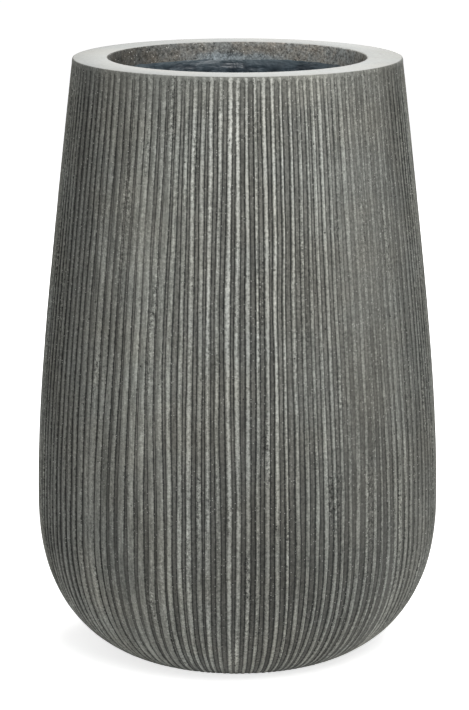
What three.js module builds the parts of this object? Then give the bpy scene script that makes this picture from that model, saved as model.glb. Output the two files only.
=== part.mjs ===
// A tall ribbed planter of stone composite: a full belly low down, a narrow foot and a wide flat rim.
// Lengths are millimetres, angles are degrees, +Z is up. The origin is the centre of the foot, on the floor.
// Every piece is round, so it is drawn as an outline of radius and height and turned about Z.
import * as THREE from 'three';
import { mergeGeometries, mergeVertices } from 'three/addons/utils/BufferGeometryUtils.js';

// Outside shape
const height = 500;
const bellyRadius = 170;
const bellyHeight = 122;
const footRadius = 103;
const rimRadius = 136;
const rimWidth = 29.5;
const footRise = 20; // angle at which the wall leaves the floor
const rimLean = 6.7; // angle by which the wall still leans in at the rim

// How far the wall's curve holds its direction at each end, as a share of the way to the next end
const footFullness = 0.29;
const lowerBellyFullness = 0.72;
const upperBellyFullness = 0.25;
const rimFullness = 0.5;

// Ribs that run from the foot to the rim, as meridians
const ribCount = 131;
const ribDepth = 1.8;
const crestShare = 0.5; // flat top of a rib, as a share of the pitch
const ribFade = 3; // the grooves run out over this height below the rim
const rimArris = 1; // soft edges of the rim

// Stone face coat, folded inwards at the rim to a hanging lip
const stoneWall = 4.5; // behind the grooves
const lipDepth = 40;
const lipThickness = 6;
const floorThickness = 5;
const footRecess = 4; // hollow under the floor, so that the pot stands on a ring
const footRingWidth = 12;

// Layers inside the stone
const coreDepth = 75; // from the rim down to where the core meets the wall
const fibreThickness = 4;
const coatThickness = 1.2;
const bareLip = 17; // stone left uncoated below the rim
const seam = 0.3; // clearance between one layer and the next

// Drain hole and its stopper
const drainRadius = 12.5;
const plugClearance = 0.4;
const plugTaper = 1.2;
const plugHeadOverlap = 8;
const plugHeadThickness = 5;
const plugHeadRound = 2;
const plugEndLift = 2; // from the floor up to the stopper's lower end

// Fineness of the outlines
const lowerSteps = 6;
const upperSteps = 5;
const roundSteps = 40;

const openingRadius = rimRadius - rimWidth;
const stoneFloor = footRecess + floorThickness;
const radians = (degrees) => THREE.MathUtils.degToRad(degrees);
const at = (radius, z) => new THREE.Vector2(radius, z);

// The wall's outline over the crests of the ribs, from the foot up to the rim.
function wallOutline() {
  const foot = at(footRadius, 0);
  const belly = at(bellyRadius, bellyHeight);
  const rim = at(rimRadius, height);
  const footReach = (bellyRadius - footRadius) * footFullness;
  const upperRise = height - bellyHeight;
  const lower = new THREE.CubicBezierCurve(
    foot,
    at(footRadius + footReach * Math.cos(radians(footRise)), footReach * Math.sin(radians(footRise))),
    at(bellyRadius, bellyHeight * (1 - lowerBellyFullness)),
    belly,
  );
  const rimReach = upperRise * rimFullness;
  const upper = new THREE.CubicBezierCurve(
    belly,
    at(bellyRadius, bellyHeight + upperRise * upperBellyFullness),
    at(rimRadius + rimReach * Math.sin(radians(rimLean)), height - rimReach * Math.cos(radians(rimLean))),
    rim,
  );
  return [...lower.getPoints(lowerSteps), ...upper.getPoints(upperSteps).slice(1)];
}

// The line that runs beside another one, on its left, with mitred corners.
function parallel(line, distance, closed = false) {
  const count = line.length;
  const sideOf = (from, to) => {
    const along = to.clone().sub(from).normalize();
    return at(-along.y, along.x);
  };
  return line.map((point, i) => {
    const before = i > 0 || closed ? line[(i + count - 1) % count] : null;
    const after = i < count - 1 || closed ? line[(i + 1) % count] : null;
    const sideBefore = before ? sideOf(before, point) : sideOf(point, after);
    const sideAfter = after ? sideOf(point, after) : sideBefore;
    const mitre = sideBefore.clone().add(sideAfter);
    return point.clone().addScaledVector(mitre, distance / (1 + sideBefore.dot(sideAfter)));
  });
}

// The stretch of a rising line between two heights, with an end point on each of them.
function between(line, low, high) {
  const crossing = (z) => {
    const i = line.findIndex((point, n) => n > 0 && point.y >= z);
    const share = (z - line[i - 1].y) / (line[i].y - line[i - 1].y);
    return line[i - 1].clone().lerp(line[i], share);
  };
  const inside = line.filter((point) => point.y > low && point.y < high);
  return [crossing(low), ...inside, crossing(high)];
}

// A closed outline, counter-clockwise in radius and height, turned about Z.
function turned(outline) {
  const geometry = new THREE.LatheGeometry([...outline, outline[0]], roundSteps);
  return geometry.rotateX(Math.PI / 2);
}

// Removes all but the positions, so that the edges where skins meet become one.
function sewn(skins) {
  const bare = skins.map((skin) => {
    const flat = skin.index ? skin.toNonIndexed() : skin;
    flat.deleteAttribute('normal');
    flat.deleteAttribute('uv');
    return flat;
  });
  const geometry = mergeVertices(mergeGeometries(bare), 1e-3);
  geometry.computeVertexNormals();
  return geometry;
}

// A point at an angle from the front, in the order in which a turned piece has them.
function around(radius, angle, z) {
  return new THREE.Vector3(radius * Math.sin(angle), -radius * Math.cos(angle), z);
}

// A ring of points round the planter: for each rib the two edges of its flat top, then the groove.
function ribbedRing(radius, z, depth) {
  const pitch = (2 * Math.PI) / ribCount;
  const halfTop = (pitch * crestShare) / 2;
  const points = [];
  for (let i = 0; i < ribCount; i++) {
    points.push(around(radius, i * pitch - halfTop, z));
    points.push(around(radius, i * pitch + halfTop, z));
    points.push(around(radius - depth, (i + 0.5) * pitch, z));
  }
  return points;
}

// A ring of points that meets those of a turned piece.
function plainRing(radius, z) {
  const steps = Array.from({ length: roundSteps }, (_, i) => (2 * Math.PI * i) / roundSteps);
  return steps.map((angle) => around(radius, angle, z));
}

// The skin through a stack of like rings, facing out where the rings rise.
function skinThrough(rings) {
  const corners = [];
  const count = rings[0].length;
  for (let j = 0; j < rings.length - 1; j++) {
    for (let i = 0; i < count; i++) {
      const next = (i + 1) % count;
      corners.push(rings[j][i], rings[j][next], rings[j + 1][next]);
      corners.push(rings[j][i], rings[j + 1][next], rings[j + 1][i]);
    }
  }
  return new THREE.BufferGeometry().setFromPoints(corners);
}

// A flat ring-shaped face between two rings of points, facing up or down.
function flatFace(outer, inner, facesUp) {
  const flat = (ring) => ring.map((point) => at(point.x, point.y));
  const shape = new THREE.Shape(flat(outer));
  shape.holes.push(new THREE.Path(flat(inner)));
  const face = new THREE.ShapeGeometry(shape);
  if (!facesUp) face.index.array.reverse();
  return face.translate(0, 0, outer[0].z);
}

const crestLine = wallOutline();
const stoneBack = parallel(crestLine, ribDepth + stoneWall);

// Where the lip hangs from the rim and where the core's underside meets the wall
const lipBack = openingRadius + lipThickness;
const lipEnd = height - lipDepth;
const rimUnderside = height - lipThickness;
const coreFoot = height - coreDepth;

// The stone's inner side, from the drain hole over the floor and up the wall, then under the core to the lip
const innerLine = [
  at(drainRadius, stoneFloor),
  ...between(stoneBack, stoneFloor, coreFoot),
  at(lipBack, lipEnd),
  at(openingRadius, lipEnd),
];

// Ribbed face coat in one piece: wall, rim, lip and floor.
function stoneShell() {
  const ribbedWall = between(crestLine, 0, height - ribFade);
  const rings = ribbedWall.map((point) => ribbedRing(point.x, point.y, ribDepth));
  rings.push(ribbedRing(rimRadius, height - rimArris, 0));
  rings.push(ribbedRing(rimRadius - rimArris, height, 0));

  const recessRadius = footRadius - ribDepth - footRingWidth;
  const backOfWall = between(stoneBack, stoneFloor, rimUnderside).reverse();
  const inside = [
    at(openingRadius + rimArris, height),
    at(openingRadius, height - rimArris),
    at(openingRadius, lipEnd),
    at(lipBack, lipEnd),
    at(lipBack, rimUnderside),
    ...backOfWall,
    at(drainRadius, stoneFloor),
    at(drainRadius, footRecess),
    at(recessRadius - footRecess, footRecess),
    at(recessRadius, 0),
  ];
  const insideRings = inside.map((point) => plainRing(point.x, point.y));
  const rimFace = flatFace(rings.at(-1), insideRings[0], true);
  const footFace = flatFace(rings[0], insideRings.at(-1), false);
  return sewn([skinThrough(rings), rimFace, skinThrough(insideRings), footFace]);
}

// Filler that makes the folded rim stiff.
function rimCore() {
  const space = [
    ...between(stoneBack, coreFoot, rimUnderside),
    at(lipBack, rimUnderside),
    at(lipBack, lipEnd),
  ];
  return turned(parallel(space, seam, true));
}

// Glass-fibre laminate behind the wall, over the floor and across the underside of the rim.
function fibreBacking() {
  const face = parallel(innerLine, seam);
  const back = parallel(innerLine, seam + fibreThickness);
  return turned([...face, ...back.reverse()]);
}

// Brushed waterproof coat, up over the lower part of the lip.
function waterproofCoating() {
  const coated = (depth, lipSide) => [
    ...parallel(innerLine, depth).slice(0, -1),
    at(openingRadius - lipSide, lipEnd - depth),
    at(openingRadius - lipSide, height - bareLip),
  ];
  const under = 2 * seam + fibreThickness;
  const face = coated(under, seam);
  const wet = coated(under + coatThickness, seam + coatThickness);
  return turned([...face, ...wet.reverse()]);
}

// Rubber stopper: a tapered stem in the drain hole and a flat head on the coated floor.
function drainPlug() {
  const coatedFloor = stoneFloor + 2 * seam + fibreThickness + coatThickness;
  const headUnder = coatedFloor + seam;
  const headTop = headUnder + plugHeadThickness;
  const headRadius = drainRadius + plugHeadOverlap;
  const stemRadius = drainRadius - plugClearance;
  const outline = [
    at(0, plugEndLift),
    at(stemRadius - plugTaper, plugEndLift),
    at(stemRadius, headUnder),
    at(headRadius, headUnder),
    at(headRadius, headTop - plugHeadRound),
    at(headRadius - plugHeadRound, headTop),
    at(0, headTop),
  ];
  return new THREE.LatheGeometry(outline, roundSteps).rotateX(Math.PI / 2);
}

const stone = new THREE.MeshStandardMaterial({ color: 0x7b7b76, roughness: 0.9, metalness: 0 });
const filler = new THREE.MeshStandardMaterial({ color: 0x8f8b83, roughness: 0.95, metalness: 0 });
const laminate = new THREE.MeshStandardMaterial({ color: 0xa9a78c, roughness: 0.6, metalness: 0 });
const coat = new THREE.MeshStandardMaterial({ color: 0x2b343a, roughness: 0.35, metalness: 0 });
const rubber = new THREE.MeshStandardMaterial({ color: 0x1c1c1d, roughness: 0.8, metalness: 0 });

function piece(name, geometry, material) {
  const mesh = new THREE.Mesh(geometry, material);
  mesh.name = name;
  return mesh;
}

const planter = new THREE.Group();
planter.add(
  piece('stone_shell', stoneShell(), stone),
  piece('rim_core', rimCore(), filler),
  piece('fibre_backing', fibreBacking(), laminate),
  piece('waterproof_coating', waterproofCoating(), coat),
  piece('drain_plug', drainPlug(), rubber),
);

export default planter;
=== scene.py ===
# A tall ribbed planter of stone composite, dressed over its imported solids.
# Blender 4.5, metres, +Z up, with the front of the planter towards -Y.
import math

import bpy
import numpy as np
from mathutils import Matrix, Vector


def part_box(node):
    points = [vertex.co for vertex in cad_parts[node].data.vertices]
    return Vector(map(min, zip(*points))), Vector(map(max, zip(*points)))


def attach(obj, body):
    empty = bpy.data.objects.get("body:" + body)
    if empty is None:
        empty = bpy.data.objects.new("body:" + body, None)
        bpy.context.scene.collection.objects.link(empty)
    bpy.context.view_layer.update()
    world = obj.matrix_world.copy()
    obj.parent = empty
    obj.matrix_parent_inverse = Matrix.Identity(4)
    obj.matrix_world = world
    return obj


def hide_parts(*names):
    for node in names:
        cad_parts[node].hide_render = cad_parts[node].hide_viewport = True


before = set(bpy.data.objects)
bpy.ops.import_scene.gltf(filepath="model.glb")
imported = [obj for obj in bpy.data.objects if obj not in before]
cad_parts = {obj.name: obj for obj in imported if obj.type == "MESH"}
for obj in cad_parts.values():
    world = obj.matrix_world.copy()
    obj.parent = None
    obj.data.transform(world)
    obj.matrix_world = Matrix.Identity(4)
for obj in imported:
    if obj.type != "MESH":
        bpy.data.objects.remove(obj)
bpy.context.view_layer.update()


# Camera: two metres in front of the planter and a little above its rim, looking down at it
# through a long lens. Its place was fitted to the outline of the planter in the photograph.
picture_height = 710  # pixels
focal_length = 2545.3  # pixels
axis_right_of_middle = 3.0  # pixels
lens_centre_above_middle = 3.2  # pixels
lens_in_front = 2.0946
lens_above_floor = 0.7464
look_down = math.radians(13.33)

camera = bpy.data.objects.new("camera", bpy.data.cameras.new("camera"))
bpy.context.scene.collection.objects.link(camera)
bpy.context.scene.camera = camera
camera.location = (0, -lens_in_front, lens_above_floor)
camera.rotation_euler = (math.pi / 2 - look_down, 0, 0)
camera.data.lens = camera.data.sensor_width * focal_length / picture_height
camera.data.shift_x = -axis_right_of_middle / picture_height
camera.data.shift_y = -lens_centre_above_middle / picture_height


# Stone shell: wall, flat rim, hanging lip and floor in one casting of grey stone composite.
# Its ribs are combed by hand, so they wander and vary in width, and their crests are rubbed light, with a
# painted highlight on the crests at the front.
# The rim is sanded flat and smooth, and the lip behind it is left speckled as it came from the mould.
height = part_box("stone_shell")[1].z
belly_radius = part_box("stone_shell")[1].x
belly_height = 0.122
foot_radius = 0.103
rim_radius = 0.136
opening_radius = 0.1065
arris = 0.001  # soft edges of the rim
arris_middle = 0.3 * arris  # from the sharp corner in to the middle of a soft edge

# The wall's curve: its slopes at its two ends, and how far it holds its direction at each drawn point, as
# a share of the way to the next one.
foot_rise = math.radians(20)
rim_lean = math.radians(6.7)
foot_fullness = 0.29
lower_belly_fullness = 0.72
upper_belly_fullness = 0.25
rim_fullness = 0.5
steps_between_points = 36

stone_depth = 0.0063  # from the crests to the stone's back
lip_depth = 0.04
lip_thickness = 0.006
lip_back = opening_radius + lip_thickness
lip_end = height - lip_depth
rim_underside = height - lip_thickness
stone_floor = 0.009
foot_recess = 0.004
foot_ring_inside = 0.0892
drain_radius = 0.0125

rib_count = 131
rib_depth = 0.0018
crest_round = 0.0003  # drop from the middle of a crest to its edges
flank_width = 0.0007
places_per_rib = 7
columns = rib_count * places_per_rib


def deselect_all():
    bpy.ops.object.select_all(action="DESELECT")


def select_in_edit(mesh, chosen):
    """In edit mode, selects the vertices whose numbers are given and nothing else."""
    bpy.ops.mesh.select_all(action="DESELECT")
    bpy.ops.object.mode_set(mode="OBJECT")
    for number in chosen:
        mesh.vertices[number].select = True
    bpy.ops.object.mode_set(mode="EDIT")


def extrude_through(mesh, corners):
    """Extrudes the last vertex of an outline from corner to corner, each given as radius and height."""
    last = len(mesh.vertices) - 1
    reached = mesh.vertices[last].co.copy()
    bpy.ops.object.mode_set(mode="EDIT")
    bpy.ops.mesh.select_mode(type="VERT")
    select_in_edit(mesh, [last])
    for radius, z in corners:
        step = Vector((radius, 0, z)) - reached
        bpy.ops.mesh.extrude_vertices_move(TRANSFORM_OT_translate={"value": step})
        reached += step
    bpy.ops.object.mode_set(mode="OBJECT")


def turn_outline(mesh, steps):
    """Closes an outline with an edge and turns it about Z into a solid."""
    last = len(mesh.vertices) - 1
    bpy.ops.object.mode_set(mode="EDIT")
    select_in_edit(mesh, [0, last])
    bpy.ops.mesh.edge_face_add()
    bpy.ops.mesh.select_all(action="SELECT")
    bpy.ops.mesh.spin(steps=steps, angle=2 * math.pi, center=(0, 0, 0), axis=(0, 0, 1))
    bpy.ops.mesh.select_all(action="SELECT")
    bpy.ops.mesh.remove_doubles(threshold=1e-6)
    bpy.ops.mesh.normals_make_consistent(inside=False)
    bpy.ops.object.mode_set(mode="OBJECT")


def points_of(mesh):
    """The places of a mesh's vertices, one row each."""
    places = np.empty(len(mesh.vertices) * 3, np.float32)
    mesh.vertices.foreach_get("co", places)
    return places.reshape(-1, 3).astype(float)


def places_round(mesh):
    """The places of a mesh's vertices as radius, angle from the front and height."""
    x, y, z = points_of(mesh).T
    return np.hypot(x, y), np.arctan2(x, -y) % (2 * np.pi), z


def move_points(mesh, radius, angle, z):
    """Moves a mesh's vertices to places given as radius, angle from the front and height."""
    places = np.stack([radius * np.sin(angle), -radius * np.cos(angle), z], axis=1)
    mesh.vertices.foreach_set("co", places.astype(np.float32).ravel())
    mesh.update()


def carry(mesh, name, values):
    """Gives a mesh a value at each of its vertices, for its material to read."""
    mesh.attributes.new(name, "FLOAT", "POINT").data.foreach_set("value", values.astype(np.float32))


# The wall's outline is one drawn curve from the foot over the belly to the rim.
foot_reach = foot_fullness * (belly_radius - foot_radius)
belly_reach_down = lower_belly_fullness * belly_height
belly_reach_up = upper_belly_fullness * (height - belly_height)
rim_reach = rim_fullness * (height - belly_height)
drawn_points = [
    ((foot_radius, 0), (0, 0), (foot_reach * math.cos(foot_rise), foot_reach * math.sin(foot_rise))),
    ((belly_radius, belly_height), (0, -belly_reach_down), (0, belly_reach_up)),
    ((rim_radius, height), (rim_reach * math.sin(rim_lean), -rim_reach * math.cos(rim_lean)), (0, 0)),
]
deselect_all()
bpy.ops.curve.primitive_bezier_curve_add()
stone = bpy.context.object
stone.name = "stone_body"
drawn = stone.data.splines[0]
drawn.bezier_points.add(1)
drawn.resolution_u = steps_between_points
for point, (place, before, after) in zip(drawn.bezier_points, drawn_points):
    point.handle_left_type = "FREE"
    point.handle_right_type = "FREE"
    point.co = (place[0], 0, place[1])
    point.handle_left = (place[0] + before[0], 0, place[1] + before[1])
    point.handle_right = (place[0] + after[0], 0, place[1] + after[1])
bpy.ops.object.convert(target="MESH")
stone = bpy.context.object
outline = points_of(stone.data)[:, [0, 2]]


def beside(line, distance, closed=False):
    """The line that runs beside another one, on its left, with mitred corners."""
    line = np.asarray(line)
    along = np.roll(line, -1, axis=0) - line
    if not closed:
        along[-1] = along[-2]
    along /= np.linalg.norm(along, axis=1)[:, None]
    side = np.stack([-along[:, 1], along[:, 0]], axis=1)
    side_before = np.roll(side, 1, axis=0)
    if not closed:
        side_before[0] = side[0]
    mitre = side + side_before
    return line + mitre * distance / (1 + (side * side_before).sum(axis=1))[:, None]


def behind_wall(depth, heights):
    """Corners of a line that runs at a depth inside the wall's outline, at the heights given."""
    inside = beside(outline, depth)
    return [(float(np.interp(z, inside[:, 1], inside[:, 0])), float(z)) for z in heights]


# Near the rim the wall gets closer rows, for the rounded ends of the grooves.
rows_near_rim = 9
bpy.ops.object.mode_set(mode="EDIT")
bpy.ops.mesh.select_mode(type="VERT")
select_in_edit(stone.data, [len(outline) - 1])
bpy.ops.mesh.delete(type="VERT")
bpy.ops.object.mode_set(mode="OBJECT")
closer = np.linspace(outline[-2], (rim_radius, height - arris), rows_near_rim + 1)[1:]
extrude_through(stone.data, closer)
wall_rows = points_of(stone.data)[:, [0, 2]]

# The rest of the outline: over the rim, down the lip and the back of the wall, then under the floor.
rows_on_lip = 8
back_heights = (rim_underside, 0.38, 0.25, 0.14, 0.08, 0.045, 0.02, stone_floor)
extrude_through(
    stone.data,
    [
        (rim_radius - arris_middle, height - arris_middle),
        (rim_radius - arris, height),
        ((rim_radius + opening_radius) / 2, height),
        (opening_radius + arris, height),
        (opening_radius + arris_middle, height - arris_middle),
        *((opening_radius, z) for z in np.linspace(height - arris, lip_end, rows_on_lip)),
        (lip_back, lip_end),
        (lip_back, rim_underside),
        *behind_wall(stone_depth, back_heights),
        (drain_radius, stone_floor),
        (drain_radius, foot_recess),
        (foot_ring_inside - foot_recess, foot_recess),
        (foot_ring_inside, 0),
    ],
)
turn_outline(stone.data, columns)

# Each rib has its own places round the wall: crest middle and edge, then the flank's foot, two on the
# groove's floor, the next flank's foot and the next crest's edge. All of them drift along the rib.
draw = np.random.default_rng(131)
rib_angles = np.arange(rib_count) * 360 / rib_count
each_rib = (rib_count, 1)
heights_of_rows = wall_rows[:, 1]
up = heights_of_rows / height
steps_along = np.linalg.norm(np.diff(wall_rows, axis=0), axis=1)
lengths_of_rows = np.concatenate([[0], np.cumsum(steps_along)])
all_the_way = 1.0


def drift(length):
    """A slow random change along each rib, over lengths like the one given, of size about one."""
    knots = draw.normal(size=(rib_count, int(lengths_of_rows[-1] / length) + 3))
    at = lengths_of_rows / length
    low = np.floor(at).astype(int)
    share = at - low
    share = share * share * (3 - 2 * share)
    return knots[:, low] * (1 - share) + knots[:, low + 1] * share


def shared_round(table, ribs):
    """Blends each rib's change with those of its neighbours, and keeps its size."""
    window = np.hanning(2 * ribs + 3)[1:-1]
    blended = sum(w * np.roll(table, i - ribs, axis=0) for i, w in enumerate(window))
    return blended / np.sqrt((window**2).sum())


def patches(*rows):
    """Soft patches round the planter, one rib after another: each is given as its amount, its angle from
    the front and its width, both in degrees, and the share of it that shows at each height."""
    total = 0
    for amount, degrees, width, shown in rows:
        away = (rib_angles - degrees + 180) % 360 - 180
        total = total + amount * np.exp(-((away / width) ** 2))[:, None] * shown
    return total


def rising(low, high):
    """Nothing at one height and one at another, both as shares of the planter's height."""
    return np.clip((up - low) / (high - low), 0, 1)


def band(middle, half_height):
    """One at a height, falling softly to nothing, in shares of the planter's height."""
    return np.exp(-(((up - middle) / half_height) ** 2))


# Places and widths across a rib are shares of the pitch, and the drops are metres.
wander = 0.15 * shared_round(drift(0.16), 3) + 0.035 * drift(0.05) + 0.05 * draw.normal(size=each_rib)
broad = patches((0.24, -36, 22, all_the_way), (0.12, 150, 30, all_the_way))
crest_share = 0.34 + broad + 0.07 * draw.normal(size=each_rib) + 0.04 * drift(0.06) + 0.015 * drift(0.015)
crest_share = np.clip(crest_share, 0.2, 0.78)
off_middle = np.clip(0.35 * draw.normal(size=each_rib) + 0.2 * drift(0.08), -0.7, 0.7)
filled = patches((0.75, 46, 17, all_the_way), (0.35, -118, 18, all_the_way), (0.3, -55, 10, all_the_way))
filled = np.clip(filled + 0.3 * shared_round(drift(0.1), 2) - 0.12, 0, 0.8)
shallower_at_rim = 0.55 * np.exp((heights_of_rows - height) / 0.014)
groove_depth = rib_depth * np.clip(0.95 + 0.06 * drift(0.05) - 0.8 * filled, 0.3, 1)
groove_depth *= 1 - shallower_at_rim
crest_drop = 0.0001 * np.abs(drift(0.02)) + 0.00008 * np.abs(draw.normal(size=each_rib))
floor_rise = np.clip(0.16 + 0.16 * drift(0.05), 0, 0.5)

# Which vertices belong to the wall and the rim, and to which rib, place on it and row.
touching = 1e-5  # metres within which two places count as one
radius, angle, z = places_round(stone.data)
column = np.rint(angle * columns / (2 * np.pi)).astype(int) % columns
rib, place = column // places_per_rib, column % places_per_rib
row = np.abs(z[:, None] - heights_of_rows).argmin(axis=1)
on_wall = np.abs(z - heights_of_rows[row]) < touching
on_wall &= np.abs(radius - wall_rows[row, 0]) < 10 * touching
on_rim = ~on_wall & (z > height - arris - touching) & (radius > opening_radius + touching)
row[on_rim] = len(wall_rows) - 1

half_top = crest_share / 2
flank = flank_width / (wall_rows[:, 0] * 2 * np.pi / rib_count)
following = np.roll(np.arange(rib_count), -1)
right_edge = wander + half_top
left_edge = 1 + wander[following] - half_top[following]
floor_from = right_edge + flank
floor_to = left_edge - flank
places_across = np.stack(
    [
        wander + off_middle * half_top,
        right_edge,
        floor_from,
        floor_from * 0.7 + floor_to * 0.3,
        floor_from * 0.3 + floor_to * 0.7,
        floor_to,
        left_edge,
    ]
)
new_angle = (rib + places_across[place, rib, row]) * 2 * np.pi / rib_count

# The grooves run out below the rim, each at its own height and with a rounded end.
least_margin = 0.0016
run_out = 0.0022  # height over which a groove's floor comes up to the crests
flank_lag = 0.0008  # the flanks' feet come up lower by this much, which rounds the end
groove_top = height - least_margin - 0.0008 * np.abs(draw.normal(size=rib_count))
below_top = groove_top[:, None] - heights_of_rows
floor_end, flank_end = (
    np.sin(np.clip((below_top - lag) / run_out, 0, 1) * np.pi / 2) for lag in (0, flank_lag)
)
edge_drop = crest_drop + crest_round
floor_drop = groove_depth * (1 - floor_rise)
drops = np.stack(
    [
        crest_drop,
        edge_drop * flank_end,
        groove_depth * flank_end,
        floor_drop * floor_end,
        floor_drop * floor_end,
        groove_depth * flank_end,
        edge_drop[following] * flank_end,
    ]
)
inwards = np.clip((radius - opening_radius - arris) / (rim_radius - opening_radius - 2 * arris), 0, 1)
turned_by = (new_angle - angle + np.pi) % (2 * np.pi) - np.pi
angle = angle + np.where(on_wall, turned_by, np.where(on_rim, turned_by * inwards, 0))
radius = np.where(on_wall, radius - np.clip(drops[place, rib, row], 0, rib_depth), radius)

# The lip is a little uneven, as the moulding left it: broad swells with a fine roughness over them.
swell_size = 0.00009
roughness_size = 0.00006
even_below_rim = 0.004
swells_a_turn = (13, 29, 47, 71)
swells_down = (90, 160, 240, 420)  # radians a metre
on_lip = (np.abs(radius - opening_radius) < touching) & (z < height - arris_middle)
swell = sum(
    np.sin(turns * angle + phase) * np.sin(z * waves + 2 * phase)
    for turns, phase, waves in zip(swells_a_turn, draw.uniform(0, 6, 4), swells_down)
)
below_rim = np.clip((height - arris - z) / even_below_rim, 0, 1)
uneven = swell_size * swell + roughness_size * draw.normal(size=len(radius))
radius = np.where(on_lip, radius + uneven * below_rim, radius)
move_points(stone.data, radius, angle, z)

# What the finish follows: the crests and the ridge along each, with a painted highlight on them at the front,
# the floors of the grooves, how far each crest is rubbed light, how far each groove is filled, patches where
# the wall is dull, and painted light and shade round the wall with a little random tone.
is_floor = np.isin(place, (3, 4))
in_groove = np.array([0, 0, 1, 1, 1, 1, 0])[place]
is_open = np.where(is_floor, floor_end[rib, row], flank_end[rib, row]) * in_groove
near_ridge = np.array([1, 0.3, 0, 0, 0, 0, 0.3])[place]
own_rib = np.where(place == places_per_rib - 1, following[rib], rib)
dark_to_its_end = np.clip(1.6 * floor_end[rib, row], 0, 1)
# How far each crest is rubbed light, with painted light added: a highlight on the crests at the front, and
# all of it brighter towards the top.
rub_and_highlight = 0.06 + patches(
    (0.88, 1, 13, all_the_way),
    (0.35, 18, 9, all_the_way),
    (0.4, 175, 40, all_the_way),
    (0.2, 100, 20, all_the_way),
)
rub_and_highlight = rub_and_highlight * (0.1 + 0.9 * up) + 0.11 * draw.normal(size=each_rib) + 0.06 * drift(0.05)
rub_and_highlight = np.clip(rub_and_highlight, 0, 1)
# The light ridge along each crest, with a painted highlight at the front that is brighter towards the top and
# weaker to its left.
ridge_and_highlight = 0.55 + patches(
    (0.42, 0, 18, 0.6 + 0.4 * up),
    (-0.15, -40, 20, all_the_way),
    (-0.16, -19, 8, all_the_way),
)
ridge_and_highlight = ridge_and_highlight + 0.17 * draw.normal(size=each_rib) + 0.1 * drift(0.04)
# Painted light and shade round the wall, with a little random tone: lighter near the foot and high on the
# front right, darker down the left side, low at the front and high on the right side.
painted_light_and_tone = 0.2 * rising(0.2, 0) + patches(
    (0.14, -22, 17, np.clip(1 - ((up - 0.62) / 0.42) ** 2, 0, 1)),
    (-0.14, 2, 11, np.clip(1.15 - up, 0, 0.8) * rising(0, 0.2)),
    (0.11, 26, 14, up**2),
    (0.1, 35, 12, band(0.84, 0.1)),
    (-0.17, -63, 14, np.clip(0.2 + 1.3 * up, 0, 1)),
    (-0.09, -74, 10, band(0.55, 0.15)),
    (-0.12, 68, 16, rising(0.35, 0.85)),
    (-0.03, 52, 12, up),
    (0.05, 110, 25, all_the_way),
    (-0.06, -150, 20, all_the_way),
)
painted_light_and_tone = painted_light_and_tone + 0.03 * shared_round(drift(0.12), 3) + 0.02 * drift(0.04) + 0.03 * draw.normal(size=each_rib)
as_light = 2.2  # turns a factor on a colour as seen into one on its light
dulled = patches((0.5, 42, 14, band(0.68, 0.25)), (0.5, 68, 12, band(0.28, 0.2)))
carry(stone.data, "crest", 1 - is_open * on_wall)
carry(stone.data, "ridge_and_highlight", near_ridge * ridge_and_highlight[own_rib, row] * on_wall)
carry(stone.data, "groove_floor", is_floor * dark_to_its_end * on_wall)
carry(stone.data, "rub_and_highlight", rub_and_highlight[own_rib, row])
carry(stone.data, "filled", filled[own_rib, row])
carry(stone.data, "dulled", dulled[own_rib, row])
carry(stone.data, "painted_light_and_tone", np.clip(1 + painted_light_and_tone[own_rib, row], 0.75, 1.3) ** as_light)

# The wall rolled out to one radius, along which the comb's streaks run.
along_wall = np.where(on_wall | on_rim, lengths_of_rows[row], z)
rolled_out = np.stack([belly_radius * np.sin(angle), -belly_radius * np.cos(angle), along_wall], axis=1)
rolled = stone.data.attributes.new("rolled_out", "FLOAT_VECTOR", "POINT")
rolled.data.foreach_set("vector", rolled_out.astype(np.float32).ravel())


def colour(red, green, blue):
    """A colour given as it shows on a screen, from 0 to 255, as the linear one that a shader takes."""
    screen = np.array([red, green, blue]) / 255
    linear = np.where(screen <= 0.04045, screen / 12.92, ((screen + 0.055) / 1.055) ** 2.4)
    return (*map(float, linear), 1)


def add_node(tree, kind, settings=(), **inputs):
    """A shader node with its settings. Its inputs, by name or as i and a number, take values or outputs."""
    node = tree.nodes.new(kind)
    for name, value in dict(settings).items():
        setattr(node, name, value)
    for name, value in inputs.items():
        socket = node.inputs[int(name[1:]) if name[1:].isdigit() else name.replace("_", " ")]
        if isinstance(value, bpy.types.NodeSocket):
            tree.links.new(value, socket)
        else:
            socket.default_value = value
    return node


def maths(tree, operation, a, b=0.0, c=0.0):
    """One sum on shader values."""
    return add_node(tree, "ShaderNodeMath", {"operation": operation}, i0=a, i1=b, i2=c).outputs[0]


def scaled(tree, vector, factor):
    """A colour or a place multiplied by one value."""
    node = add_node(tree, "ShaderNodeVectorMath", {"operation": "SCALE"}, i0=vector, Scale=factor)
    return node.outputs[0]


def spread(tree, value, low, high, to_low=0.0, to_high=1.0):
    """A value carried from one range to another, softly and without passing its ends."""
    settings = {"interpolation_type": "SMOOTHSTEP"}
    node = add_node(tree, "ShaderNodeMapRange", settings, i0=value, i1=low, i2=high, i3=to_low, i4=to_high)
    return node.outputs[0]


def mixed(tree, share, a, b, blend="MIX"):
    """Two colours mixed by a share."""
    node = add_node(tree, "ShaderNodeMix", {"data_type": "RGBA", "blend_type": blend}, i0=share, i6=a, i7=b)
    return node.outputs[2]


def noise(tree, place, size, detail=2.0, roughness=0.5):
    """Soft random values with a period of about a size in metres."""
    shape = {"Scale": 1 / size, "Detail": detail, "Roughness": roughness}
    return add_node(tree, "ShaderNodeTexNoise", Vector=place, **shape).outputs["Fac"]


def about_none(tree, value, size):
    """A random value moved to lie about nothing, and scaled to a size."""
    return maths(tree, "MULTIPLY", maths(tree, "SUBTRACT", value, 0.5), size)


def attribute(tree, name, output="Fac"):
    """A value that the mesh carries."""
    return add_node(tree, "ShaderNodeAttribute", {"attribute_name": name}).outputs[output]


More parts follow.
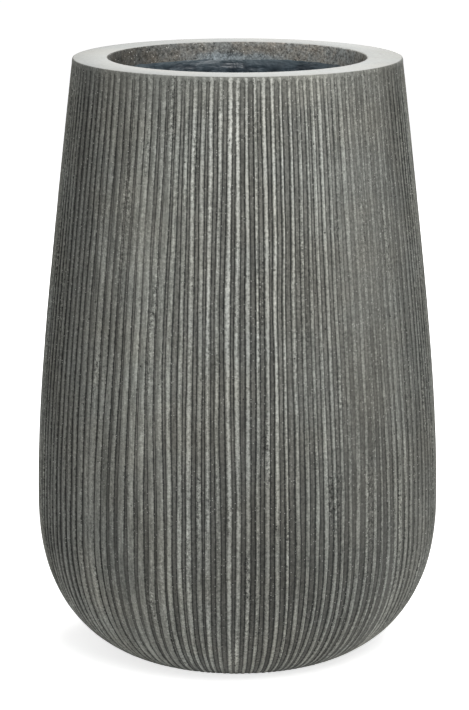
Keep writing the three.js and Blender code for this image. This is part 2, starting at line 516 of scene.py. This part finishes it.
def on_object(tree):
    """Places on the object itself."""
    return add_node(tree, "ShaderNodeTexCoord").outputs["Object"]


def along(tree, axis):
    """How far along one axis of the object a place is."""
    return add_node(tree, "ShaderNodeSeparateXYZ", Vector=on_object(tree)).outputs[axis]


def new_group(name, inputs, outputs):
    """An empty node group with named inputs and outputs: its tree and its two end nodes."""
    tree = bpy.data.node_groups.new(name, "ShaderNodeTree")
    kinds = {"value": "NodeSocketFloat", "colour": "NodeSocketColor"}
    for label, kind in inputs.items():
        tree.interface.new_socket(label, in_out="INPUT", socket_type=kinds[kind])
    for label, kind in outputs.items():
        tree.interface.new_socket(label, in_out="OUTPUT", socket_type=kinds[kind])
    return tree, tree.nodes.new("NodeGroupInput"), tree.nodes.new("NodeGroupOutput")


def scattered(tree, place, cells_a_metre, low, high, pick_from, channel):
    """Dots in some of the cells of a cell pattern: a mask that is one inside them."""
    cells = add_node(tree, "ShaderNodeTexVoronoi", Vector=place, Scale=cells_a_metre)
    pick = add_node(tree, "ShaderNodeSeparateColor", Color=cells.outputs["Color"]).outputs[channel]
    dot = spread(tree, cells.outputs["Distance"], high, low)
    return maths(tree, "MULTIPLY", dot, spread(tree, pick, pick_from, pick_from + 0.03))


# Cast stone as a group: fine grain, slow mottling, a drift from warm to cool, pale sand, and pinholes painted
# dark for the shade inside them.
cast_stone, stone_in, stone_out = new_group(
    "cast_stone",
    {"Colour": "colour", "Grain": "value", "Mottle": "value", "Sand": "value", "Pinholes": "value"},
    {"Colour": "colour", "Height": "value"},
)
tree = cast_stone
stone_place = on_object(tree)
fine_grain = noise(tree, stone_place, 0.0024, 3.0, 0.75)
slow_mottle = noise(tree, stone_place, 0.03, 5.0, 0.65)
warmth = spread(tree, noise(tree, stone_place, 0.055, 2.0), 0.3, 0.7)
is_sand = scattered(tree, stone_place, 560.0, 0.12, 0.36, 0.84, 0)
is_hole = scattered(tree, stone_place, 240.0, 0.09, 0.22, 0.94, 1)
darkest = 0.15
grain_change = about_none(tree, fine_grain, stone_in.outputs["Grain"])
mottle_change = about_none(tree, slow_mottle, stone_in.outputs["Mottle"])
lightness = maths(tree, "ADD", maths(tree, "ADD", grain_change, mottle_change), 1.0)
grained = scaled(tree, stone_in.outputs["Colour"], maths(tree, "MAXIMUM", lightness, darkest))
warm_to_cool = mixed(tree, warmth, (0.985, 1, 1.01, 1), (1.015, 1, 0.975, 1))
tinted = mixed(tree, 1.0, grained, warm_to_cool, "MULTIPLY")
sand_here = maths(tree, "MULTIPLY", is_sand, stone_in.outputs["Sand"])
# The pinholes are painted dark for the shade inside them.
pinhole_shade_here = maths(tree, "MULTIPLY", is_hole, stone_in.outputs["Pinholes"])
sanded = mixed(tree, sand_here, tinted, colour(216, 216, 210))
tree.links.new(mixed(tree, pinhole_shade_here, sanded, colour(30, 30, 29)), stone_out.inputs["Colour"])
grain_height = maths(tree, "MULTIPLY", fine_grain, 0.0005)
sand_height = maths(tree, "MULTIPLY_ADD", is_sand, 0.00012, grain_height)
tree.links.new(maths(tree, "MULTIPLY_ADD", is_hole, -0.0006, sand_height), stone_out.inputs["Height"])


def new_material(name, **settings):
    """A material with its shader, whose constant sockets are set here."""
    material = bpy.data.materials.new(name)
    material.use_nodes = True
    shader = material.node_tree.nodes["Principled BSDF"]
    for label, value in settings.items():
        shader.inputs[label.replace("_", " ")].default_value = value
    return material, material.node_tree, shader


def raise_surface(tree, shader, heights, strength):
    """Joins heights in metres to a shader's normal."""
    relief = add_node(tree, "ShaderNodeBump", Height=heights, Distance=1.0, Strength=strength)
    tree.links.new(relief.outputs[0], shader.inputs["Normal"])


def dress_in_stone(tree, shader, tint, bump, **amounts):
    """Joins the cast stone group to a shader's colour and normal."""
    group = add_node(tree, "ShaderNodeGroup", {"node_tree": cast_stone}, Colour=tint, **amounts)
    tree.links.new(group.outputs["Colour"], shader.inputs["Base Color"])
    raise_surface(tree, shader, group.outputs["Height"], bump)


# Ribbed wall: a beaded light ridge on each crest with a painted highlight at the front, and painted shade
# with some dirt as dark lines where the flanks meet the floor of a groove.
ribbed_stone, tree, shader = new_material("ribbed_stone", Roughness=0.8, Specular_IOR_Level=0.25)
fill = attribute(tree, "filled")
combed = add_node(
    tree,
    "ShaderNodeVectorMath",
    {"operation": "MULTIPLY"},
    i0=attribute(tree, "rolled_out", "Vector"),
    i1=(1, 1, 0.09),
).outputs[0]
streak = noise(tree, combed, 0.0036, 4.0, 0.75)
streaked = spread(tree, streak, 0.3, 0.7)
roughened = about_none(tree, noise(tree, on_object(tree), 0.0024, 3.0, 0.75), 2.4)
crumbly = spread(tree, noise(tree, combed, 0.011, 2.0), 0.6, 0.68)
on_crest = spread(tree, maths(tree, "MULTIPLY_ADD", roughened, 0.5, attribute(tree, "crest")), 0.35, 0.85)
floor_edge = maths(tree, "MULTIPLY_ADD", roughened, 0.4, attribute(tree, "groove_floor"))
on_floor = spread(tree, floor_edge, 0.3, 0.9)
bead_size = maths(tree, "MULTIPLY_ADD", fill, 0.7, 0.4)
ridge_line = maths(tree, "ADD", attribute(tree, "ridge_and_highlight"), about_none(tree, streak, 0.7))
on_ridge = spread(tree, maths(tree, "MULTIPLY_ADD", roughened, bead_size, ridge_line), 0.25, 0.8)
above_foot = along(tree, "Z")
# Dark lines where the flanks meet the groove floors: painted shade in the creases with some dirt, lighter
# where a groove is filled.
crease_shade_and_dirt = mixed(tree, fill, colour(46, 47, 45), colour(84, 84, 80))
floor_colour = mixed(tree, streaked, colour(78, 78, 74), colour(114, 114, 109))
darker_below = spread(tree, above_foot, 0.28, 0.1, 0.0, 0.55)
floor_colour = mixed(tree, darker_below, floor_colour, colour(60, 60, 57))
groove_colour = mixed(tree, on_floor, crease_shade_and_dirt, floor_colour)
crest_body = mixed(tree, streaked, colour(96, 97, 92), colour(134, 135, 129))
# Crest colour from the rubbed light, with the painted highlight at the front.
rubbed_and_highlit_crest = mixed(tree, attribute(tree, "rub_and_highlight"), colour(136, 137, 131), colour(186, 187, 181))
crest_colour = mixed(tree, on_ridge, crest_body, rubbed_and_highlit_crest)
rib_colour = mixed(tree, on_crest, groove_colour, crest_colour)
dulled_at_rim = spread(tree, above_foot, height - 0.035, height - 0.008, 0.0, 0.3)
rib_colour = mixed(tree, dulled_at_rim, rib_colour, colour(118, 119, 114))
rib_colour = mixed(tree, attribute(tree, "dulled"), rib_colour, colour(106, 106, 101))
rib_colour = scaled(tree, rib_colour, attribute(tree, "painted_light_and_tone"))
grain_here = maths(tree, "MULTIPLY_ADD", crumbly, 3.0, 1.9)
dress_in_stone(tree, shader, rib_colour, 0.9, Grain=grain_here, Mottle=0.4, Sand=0.4, Pinholes=0.9)

# Flat rim: sanded, a little darker towards its right end.
sanded_rim, tree, shader = new_material("sanded_rim", Roughness=0.72, Specular_IOR_Level=0.3)
to_right_end = spread(tree, along(tree, "X"), 0.1, 0.134)
rim_colour = mixed(tree, to_right_end, colour(163, 164, 161), colour(147, 148, 144))
dress_in_stone(tree, shader, rim_colour, 0.15, Grain=0.6, Mottle=0.25, Sand=0.3, Pinholes=0.2)

# Lip: brownish as cast, with a thin wash of the coat at its middle, painted shade at its left end and painted
# light at its right end.
lip_stone, tree, shader = new_material("lip_stone", Roughness=0.85, Specular_IOR_Level=0.25)
place_on = on_object(tree)
across, above_foot = along(tree, "X"), along(tree, "Z")
brownish = spread(tree, noise(tree, place_on, 0.014, 5.0, 0.75), 0.35, 0.7)
bare_lip_colour = mixed(tree, brownish, colour(128, 130, 128), colour(126, 121, 113))
wash_edge = maths(tree, "ADD", above_foot, about_none(tree, noise(tree, place_on, 0.012, 4.0, 0.7), 0.014))
near_middle = spread(tree, maths(tree, "ABSOLUTE", across), 0.055, 0.02)
thin_wash = maths(tree, "MULTIPLY", spread(tree, wash_edge, height - 0.007, height - 0.014), near_middle)
washed_colour = mixed(tree, thin_wash, bare_lip_colour, colour(138, 146, 150))
# Painted shade at the lip's left end and painted light at its right end.
out_of_painted_shade = spread(tree, across, -0.105, -0.035)
lip_painted_light_and_shade = mixed(tree, out_of_painted_shade, colour(165, 164, 162), (1, 1, 1, 1))
lip_painted_light_and_shade = mixed(tree, spread(tree, across, 0.01, 0.1), lip_painted_light_and_shade, (1.6, 1.6, 1.6, 1))
lip_colour = mixed(tree, 1.0, washed_colour, lip_painted_light_and_shade, "MULTIPLY")
dress_in_stone(tree, shader, lip_colour, 1.0, Grain=4.0, Mottle=0.9, Sand=1.0, Pinholes=1.0)

raw_stone, tree, shader = new_material("raw_stone", Roughness=0.9, Specular_IOR_Level=0.25)
dress_in_stone(tree, shader, colour(118, 117, 112), 1.0, Grain=1.2, Mottle=0.5, Sand=0.5, Pinholes=1.0)

for material in (ribbed_stone, sanded_rim, lip_stone, raw_stone):
    stone.data.materials.append(material)
ribbed_finish, sanded_finish, lip_finish, raw_finish = range(4)
finish = np.full(len(z), raw_finish)
finish[on_wall] = ribbed_finish
finish[on_rim & (z < height - touching)] = ribbed_finish
finish[on_rim & (z > height - touching)] = sanded_finish
finish[(radius < opening_radius + 0.8 * arris) & (z > lip_end - touching)] = lip_finish
corners = np.empty(len(stone.data.loops), np.int32)
stone.data.loops.foreach_get("vertex_index", corners)
corner_finish = finish[corners.reshape(-1, 4)]
is_ribbed = (corner_finish == ribbed_finish).any(axis=1) & (corner_finish < raw_finish).all(axis=1)
face_finish = np.where(is_ribbed, ribbed_finish, corner_finish.max(axis=1))
stone.data.polygons.foreach_set("material_index", face_finish.astype(np.int32))
stone.data.polygons.foreach_set("use_smooth", np.ones(len(stone.data.polygons), bool))
stone.data.update()
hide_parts("stone_shell")
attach(stone, "planter")


# Rim core: coarse filler trowelled into the fold of the rim, which makes it stiff.
# It lies against the back of the wall, under the flat rim and behind the hanging lip.
seam = 0.0003  # clearance between one layer and the next
core_foot = height - 0.075
core_rows = 12
steps_a_turn = 180
layer_crease = math.radians(35)


def drawn_outline(name, corners):
    """An object that is one open line through corners, each given as radius and height."""
    deselect_all()
    bpy.ops.curve.primitive_bezier_curve_add()
    line = bpy.context.object
    line.name = name
    line.data.splines.clear()
    drawn = line.data.splines.new("POLY")
    drawn.points.add(len(corners) - 1)
    for point, (radius, z) in zip(drawn.points, corners):
        point.co = (radius, 0, z, 1)
    bpy.ops.object.convert(target="MESH")
    return bpy.context.object


def finish_turned(piece, node, material, body="planter"):
    """Gives a turned piece its material, hides the imported part of its node and hangs the piece on the body
    that it rides on.
    """
    piece.data.materials.append(material)
    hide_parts(node)
    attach(piece, body)


space_in_rim = [
    *behind_wall(stone_depth, np.linspace(core_foot, rim_underside, core_rows)),
    (lip_back, rim_underside),
    (lip_back, lip_end),
]
core = drawn_outline("rim_filler", beside(space_in_rim, seam, closed=True))
turn_outline(core.data, steps_a_turn)
bpy.ops.object.shade_smooth_by_angle(angle=layer_crease)
rough_filler, tree, shader = new_material("rough_filler", Roughness=0.95, Specular_IOR_Level=0.2)
dress_in_stone(tree, shader, colour(143, 139, 130), 1.0, Grain=1.6, Mottle=0.9, Sand=0.9, Pinholes=1.0)
finish_turned(core, "rim_core", rough_filler)


# Fibre backing: glass-fibre mat laid in resin behind the wall, over the floor and under the rim.
# It is laid up by hand, so its strands show in the resin.
fibre_thickness = 0.004
floor_bend_heights = (stone_floor, 0.012, 0.017, 0.023)
wall_heights = np.linspace(0.03, core_foot, 48)
inner_line = [
    (drain_radius, stone_floor),
    (0.05, stone_floor),
    *behind_wall(stone_depth, [*floor_bend_heights, *wall_heights]),
    (lip_back, lip_end),
    (opening_radius, lip_end),
]
fibre = drawn_outline(
    "fibre_mat",
    [*beside(inner_line, seam), *beside(inner_line, seam + fibre_thickness)[::-1]],
)
turn_outline(fibre.data, steps_a_turn)
bpy.ops.object.shade_smooth_by_angle(angle=layer_crease)
glass_fibre, tree, shader = new_material("glass_fibre", Roughness=0.5, Coat_Weight=0.3, Coat_Roughness=0.2)
place_on = on_object(tree)
strands = [
    add_node(
        tree,
        "ShaderNodeTexNoise",
        Vector=add_node(tree, "ShaderNodeMapping", i0=place_on, Rotation=turn, Scale=(1, 1, 0.06)).outputs[0],
        Scale=700.0,
        Detail=1.0,
        Distortion=0.4,
    ).outputs["Fac"]
    for turn in ((0.4, 0, 0.2), (1.3, 0.5, 0), (2.2, 0, 1.1))
]
strand = maths(tree, "MAXIMUM", strands[0], maths(tree, "MAXIMUM", strands[1], strands[2]))
resin_colour = mixed(tree, spread(tree, strand, 0.52, 0.7), colour(128, 120, 88), colour(186, 182, 158))
tree.links.new(resin_colour, shader.inputs["Base Color"])
raise_surface(tree, shader, maths(tree, "MULTIPLY", strand, 0.0006), 0.8)
finish_turned(fibre, "fibre_backing", glass_fibre)


# Waterproof coating: dark blue-grey paint, brushed thickly over the inside and up over the lip.
# It stops at an uneven edge some way below the rim, where the brush ran dry.
coat_thickness = 0.0012
coat_top = height - 0.017
coat_under = 2 * seam + fibre_thickness
coat_columns = 480
coat_lip_rows = 14
edge_rise = 0.0021  # how far the uneven edge stands above coat_top on the whole


def coated(depth, lip_side):
    """The line of one side of the coat: along the inside, then up over the lip."""
    low = lip_end - depth
    shares = np.linspace(0, 1, coat_lip_rows)
    over_lip = [(opening_radius - lip_side, low + share * (coat_top - low)) for share in shares]
    return [*map(tuple, beside(inner_line, depth)[:-1]), *over_lip]


def waves_round(count, low, high):
    """Random waves round the coat, of size about one, with between low and high crests a turn."""
    total = np.zeros(len(z))
    for turns in draw.integers(low, high, count):
        total += np.sin(turns * angle + draw.uniform(0, 2 * np.pi) + draw.uniform(-60, 60) * z)
    return total * np.sqrt(2 / count)


coat = drawn_outline(
    "waterproof_coat",
    [*coated(coat_under, seam), *coated(coat_under + coat_thickness, seam + coat_thickness)[::-1]],
)
turn_outline(coat.data, coat_columns)
radius, angle, z = places_round(coat.data)
up_lip = np.clip((z - lip_end) / (coat_top - lip_end), 0, 1)
on_coat_lip = (radius < opening_radius) & (z > lip_end - 0.007)
wet_side = on_coat_lip & (radius < opening_radius - seam - 0.5 * coat_thickness)
edge_height = edge_rise + 0.0003 * waves_round(6, 4, 11) + 0.0002 * waves_round(8, 25, 60)
z = z + np.where(on_coat_lip, np.clip(edge_height, -0.001, 0.0028) * up_lip**2, 0)
brushed = 0.00016 * waves_round(6, 8, 30) + 0.00014 * waves_round(10, 40, 110)
thinned = coat_thickness * 0.85 * up_lip**8
lip_brushed = np.clip(brushed, -0.0004, 0.0005) * (1 - up_lip**4)
radius = np.where(wet_side, radius + lip_brushed + thinned, radius)
on_coat_wall = ~on_coat_lip & (z > 0.03) & (z < 0.415)
away_from_wall = np.interp(z, outline[:, 1], outline[:, 0]) - radius
wet_wall = on_coat_wall & (away_from_wall > coat_under + stone_depth + 0.5 * coat_thickness)
radius = np.where(wet_wall, radius - 0.4 * np.clip(np.abs(brushed), 0, 0.0006), radius)
move_points(coat.data, radius, angle, z)
carry(coat.data, "thin_edge", np.where(on_coat_lip, up_lip, 0))
bpy.ops.object.shade_smooth_by_angle(angle=math.radians(50))

brushed_coat, tree, shader = new_material("brushed_coat", Specular_IOR_Level=0.5)
place_on = on_object(tree)
stroke_place = add_node(tree, "ShaderNodeMapping", i0=place_on, Scale=(1, 1, 3.5)).outputs[0]
strokes = noise(tree, stroke_place, 0.02, 3.0, 0.5)
clouds = noise(tree, place_on, 0.014, 3.0, 0.6)
thin_edge = maths(tree, "ADD", attribute(tree, "thin_edge"), about_none(tree, strokes, 0.4))
deep_coat = mixed(tree, spread(tree, clouds, 0.35, 0.7), colour(44, 52, 59), colour(68, 80, 88))
coat_colour = mixed(tree, spread(tree, thin_edge, 0.75, 1.1), deep_coat, colour(74, 86, 92))
tree.links.new(coat_colour, shader.inputs["Base Color"])
tree.links.new(spread(tree, clouds, 0.3, 0.75, 0.26, 0.48), shader.inputs["Roughness"])
coat_height = maths(tree, "MULTIPLY_ADD", strokes, 0.0016, maths(tree, "MULTIPLY", clouds, 0.0016))
raise_surface(tree, shader, coat_height, 0.9)
finish_turned(coat, "waterproof_coating", brushed_coat)


# Drain plug: a moulded rubber stopper with a flat head, a dished top with a knob to lift it by, and
# a tapered hollow stem with three sealing beads, pushed into the drain hole from inside.
plug_bottom, plug_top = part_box("drain_plug")[0].z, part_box("drain_plug")[1].z
head_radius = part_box("drain_plug")[1].x
head_thickness = 0.005
head_under = plug_top - head_thickness
stem_foot_radius = 0.0109
stem_head_radius = 0.0121
stem_widens = (stem_head_radius - stem_foot_radius) / (head_under - plug_bottom)
hollow_top = plug_bottom + 0.006
bead_heights = (0.0055, 0.0085, 0.0115)
bead = 0.0002  # how far a bead stands out
bead_profile = ((-0.0006, 0), (-0.0003, 0.8), (0, 1), (0.0003, 0.8), (0.0006, 0))  # height, share of bead


def stem(z, beyond=0.0):
    """A corner on the stem at a height."""
    return (stem_foot_radius + stem_widens * (z - plug_bottom) + beyond, z)


def rounded(centre_radius, centre_z, size, start, end, steps=5):
    """Corners along an arc of an outline, between two angles in degrees."""
    turns = np.radians(np.linspace(start, end, steps))
    return [(centre_radius + size * math.cos(t), centre_z + size * math.sin(t)) for t in turns]


beads_up = [stem(middle + rise, bead * share) for middle in bead_heights for rise, share in bead_profile]
plug_outline = [
    (0, hollow_top),
    (0.0055, hollow_top),
    (0.0065, hollow_top - 0.001),
    (0.0068, plug_bottom + 0.0005),
    (0.0073, plug_bottom),
    *rounded(stem_foot_radius - 0.0008, plug_bottom + 0.0008, 0.0008, -90, 0),
    *beads_up,
    stem(head_under - 0.0003),
    (0.0124, head_under),
    *rounded(head_radius - 0.0005, head_under + 0.0005, 0.0005, -90, 0, 4),
    *rounded(head_radius - 0.0022, plug_top - 0.0022, 0.0022, 0, 90, 7),
    *rounded(0.0150, plug_top - 0.0006, 0.0006, 90, 180, 4),
    *rounded(0.0138, plug_top - 0.0010, 0.0006, 0, -90, 4),
    (0.0075, plug_top - 0.0016),
    (0.0065, plug_top - 0.0014),
    (0.0060, plug_top - 0.0010),
    *rounded(0.0052, plug_top - 0.0006, 0.0006, 0, 90, 4),
    (0, plug_top),
]
plug = drawn_outline("rubber_stopper", plug_outline)
turn_outline(plug.data, 120)
bpy.ops.object.shade_smooth_by_angle(angle=math.radians(40))
moulded_rubber, tree, shader = new_material("moulded_rubber", Specular_IOR_Level=0.35)
place_on = on_object(tree)
bloom = noise(tree, place_on, 0.006, 4.0, 0.6)
rubber_colour = mixed(tree, spread(tree, bloom, 0.4, 0.75), colour(30, 30, 31), colour(52, 52, 52))
tree.links.new(rubber_colour, shader.inputs["Base Color"])
tree.links.new(spread(tree, bloom, 0.3, 0.7, 0.62, 0.85), shader.inputs["Roughness"])
raise_surface(tree, shader, maths(tree, "MULTIPLY", noise(tree, place_on, 0.0006, 2.0), 0.00004), 0.6)
finish_turned(plug, "drain_plug", moulded_rubber, "plug")


# Stage: a plain pale floor that runs out of the picture, a broad soft lamp above the front right,
# another one behind and an even pale sky. Seen directly or in a reflection, floor and sky are white.
white = (1, 1, 1, 1)
floor_grey = (0.88, 0.88, 0.88, 1)
floor_glow = 0.74  # brings the lit floor up to white
sky_on_object = 0.3
lamp_width = 1.1
lamps_aim_at = Vector((0, 0, 0.3))


def seen_directly(tree):
    """One for camera, mirror and glass rays, and nothing for the rays that light the object."""
    path = add_node(tree, "ShaderNodeLightPath")
    through = maths(tree, "MAXIMUM", path.outputs["Is Glossy Ray"], path.outputs["Is Transmission Ray"])
    return maths(tree, "MAXIMUM", path.outputs["Is Camera Ray"], through)


deselect_all()
bpy.ops.mesh.primitive_plane_add(size=30)
floor = bpy.context.object
floor.name = "floor"
floor_paint, tree, shader = new_material(
    "floor_paint", Roughness=0.9, Base_Color=floor_grey, Emission_Color=white
)
glow = maths(tree, "MULTIPLY", seen_directly(tree), floor_glow)
tree.links.new(glow, shader.inputs["Emission Strength"])
floor.data.materials.append(floor_paint)

for name, place, watts in (("soft_lamp", (0.4, -1.0, 1.45), 22), ("lamp_behind", (0.35, 1.7, 1.6), 32)):
    lamp = bpy.data.objects.new(name, bpy.data.lights.new(name, "AREA"))
    bpy.context.scene.collection.objects.link(lamp)
    lamp.data.shape = "SQUARE"
    lamp.data.size = lamp_width
    lamp.data.energy = watts
    lamp.location = place
    lamp.rotation_euler = (lamps_aim_at - lamp.location).to_track_quat("-Z", "Y").to_euler()
    lamp.visible_camera = False

world = bpy.data.worlds.new("pale_sky")
bpy.context.scene.world = world
world.use_nodes = True
background = world.node_tree.nodes["Background"]
directly = seen_directly(world.node_tree)
sky_strength = maths(world.node_tree, "MULTIPLY_ADD", directly, 1 - sky_on_object, sky_on_object)
world.node_tree.links.new(sky_strength, background.inputs["Strength"])
background.inputs["Color"].default_value = white
bpy.context.scene.view_settings.view_transform = "Standard"
